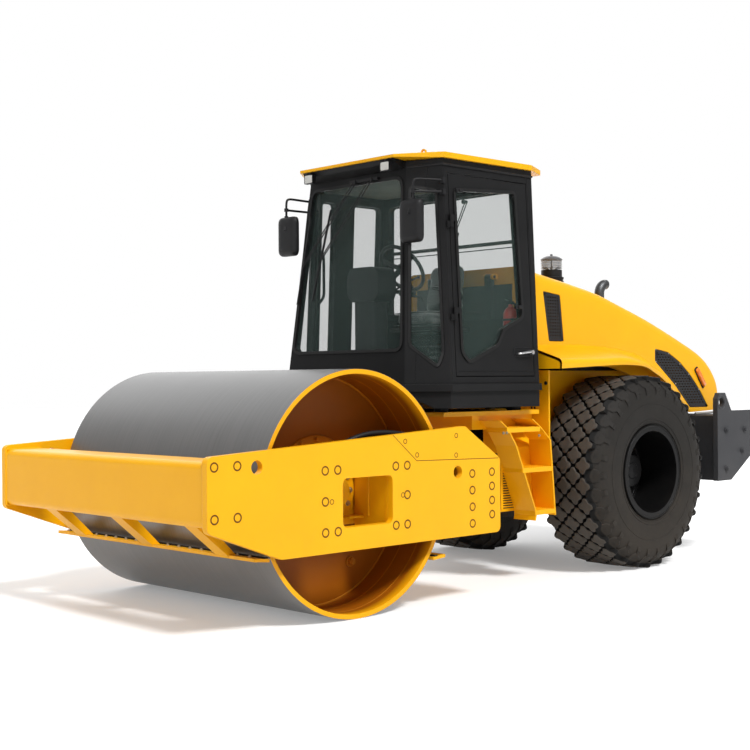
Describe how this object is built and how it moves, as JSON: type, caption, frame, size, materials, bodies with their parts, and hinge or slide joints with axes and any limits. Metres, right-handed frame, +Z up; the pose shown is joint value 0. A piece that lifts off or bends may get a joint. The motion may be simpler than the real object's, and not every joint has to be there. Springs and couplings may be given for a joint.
{
  "type": "road roller",
  "caption": "Articulated road roller: smooth steel drum in a yellow frame in front, glazed cab in the middle, long sloping hood over large treaded rear tyres.",
  "frame": {"origin": "on the ground, in the middle of the machine's length and width", "axes": "+X forwards, towards the drum; +Y to the machine's left, the side with the door; +Z up"},
  "size_m": [5.95, 2.31, 3.0739],
  "materials": {
    "drum_steel": "rolled bright steel with a worn sheen",
    "yellow_paint": "glossy machine yellow",
    "frame_black": "satin near-black paint",
    "cab_paint": "satin charcoal paint",
    "weight_grey": "textured dark grey paint",
    "hood_yellow": "glossy moulded yellow panel",
    "grille_black": "perforated sheet, satin black",
    "glass": "tinted safety glass",
    "tyre": "dusty black rubber",
    "rim_black": "satin black paint",
    "rubber": "matt black rubber",
    "bright_rod": "hard chrome",
    "trim_plastic": "grained black plastic",
    "lamp": "clear lens in a black body",
    "seat_cloth": "dark woven cloth",
    "intake": "smoked bowl with a black cap",
    "exhaust_steel": "heat-dulled steel",
    "engine_grey": "dull grey"
  },
  "bodies": {
    "rear_frame": {"hood_brackets": "frame_black", "rear_chassis": "frame_black", "rear_hitch": "frame_black", "chassis_rails": "frame_black", "rear_axle": "frame_black", "engine": "engine_grey", "arch_panels": "yellow_paint", "side_tanks": "yellow_paint", "cab_platform": "yellow_paint", "cab_mounts": "rubber", "counterweight": "weight_grey", "steps": "yellow_paint", "cab_base": "cab_paint", "cab_front": "cab_paint", "cab_rear": "cab_paint", "cab_side_left": "cab_paint", "cab_side_right": "cab_paint", "cab_glass": "glass", "roof_frame": "trim_plastic", "cab_roof": "yellow_paint", "work_lights": "lamp", "mirrors": "trim_plastic", "console": "trim_plastic", "steering_wheel": "trim_plastic", "seat_base": "frame_black", "seat": "seat_cloth"},
    "front_frame": {"side_plate_left": "yellow_paint", "side_plate_right": "yellow_paint", "front_beam": "yellow_paint", "rear_beam": "yellow_paint", "drum_mounts": "yellow_paint", "drum_scrapers": "yellow_paint"},
    "drum_roll": {"drum": "drum_steel", "drum_journals": "drum_steel"},
    "wheel_left": {"tyre_left": "tyre", "rim_left": "rim_black"},
    "wheel_right": {"tyre_right": "tyre", "rim_right": "rim_black"},
    "cab_door": {"door": "cab_paint", "door_glass": "glass"},
    "engine_hood": {"hood": "hood_yellow", "mudguards": "hood_yellow", "hood_grilles": "grille_black", "precleaner": "intake", "exhaust_stub": "exhaust_steel"},
    "barrel_left": {"steering_barrel_left": "frame_black"},
    "rod_left": {"steering_rod_left": "bright_rod"},
    "barrel_right": {"steering_barrel_right": "frame_black"},
    "rod_right": {"steering_rod_right": "bright_rod"}
  },
  "joints": [
    {"name": "steering", "type": "hinge", "parent": "rear_frame", "child": "front_frame", "pos_m": [0.279, 0, 0.69], "axis": [0, 0, 1], "range_deg": [-33, 33]},
    {"name": "drum_spin", "type": "hinge", "parent": "front_frame", "child": "drum_roll", "pos_m": [1.779, 0, 0.763], "axis": [0, 1, 0], "continuous": true},
    {"name": "wheel_left_spin", "type": "hinge", "parent": "rear_frame", "child": "wheel_left", "pos_m": [-1.271, 0.8, 0.74], "axis": [0, 1, 0], "continuous": true},
    {"name": "wheel_right_spin", "type": "hinge", "parent": "rear_frame", "child": "wheel_right", "pos_m": [-1.271, -0.8, 0.74], "axis": [0, 1, 0], "continuous": true},
    {"name": "door_swing", "type": "hinge", "parent": "rear_frame", "child": "cab_door", "pos_m": [0.662, 0.868, 1.43], "axis": [0, 0.0499, -0.9988], "range_deg": [0, 100]},
    {"name": "hood_lift", "type": "hinge", "parent": "rear_frame", "child": "engine_hood", "pos_m": [-0.287, 0, 2.23], "axis": [0, 1, 0], "range_deg": [0, 50]},
    {"name": "barrel_left_swing", "type": "hinge", "parent": "rear_frame", "child": "barrel_left", "pos_m": [-0.261, 0.34, 0.7], "axis": [0, 0, 1], "range_deg": [-9.5, 9.5]},
    {"name": "rod_left_slide", "type": "slide", "parent": "barrel_left", "child": "rod_left", "axis": [0.9999, -0.0132, 0], "range_m": [-0.195, 0.195]},
    {"name": "barrel_right_swing", "type": "hinge", "parent": "rear_frame", "child": "barrel_right", "pos_m": [-0.261, -0.34, 0.7], "axis": [0, 0, 1], "range_deg": [-9.5, 9.5]},
    {"name": "rod_right_slide", "type": "slide", "parent": "barrel_right", "child": "rod_right", "axis": [0.9999, 0.0132, 0], "range_m": [-0.195, 0.195]}
  ],
  "couplings": [
    {"joint": "barrel_left_swing", "follows": "steering", "ratio": 0.262},
    {"joint": "rod_left_slide", "follows": "steering", "m_per_rad": -0.325},
    {"joint": "barrel_right_swing", "follows": "steering", "ratio": 0.262},
    {"joint": "rod_right_slide", "follows": "steering", "m_per_rad": 0.325}
  ]
}
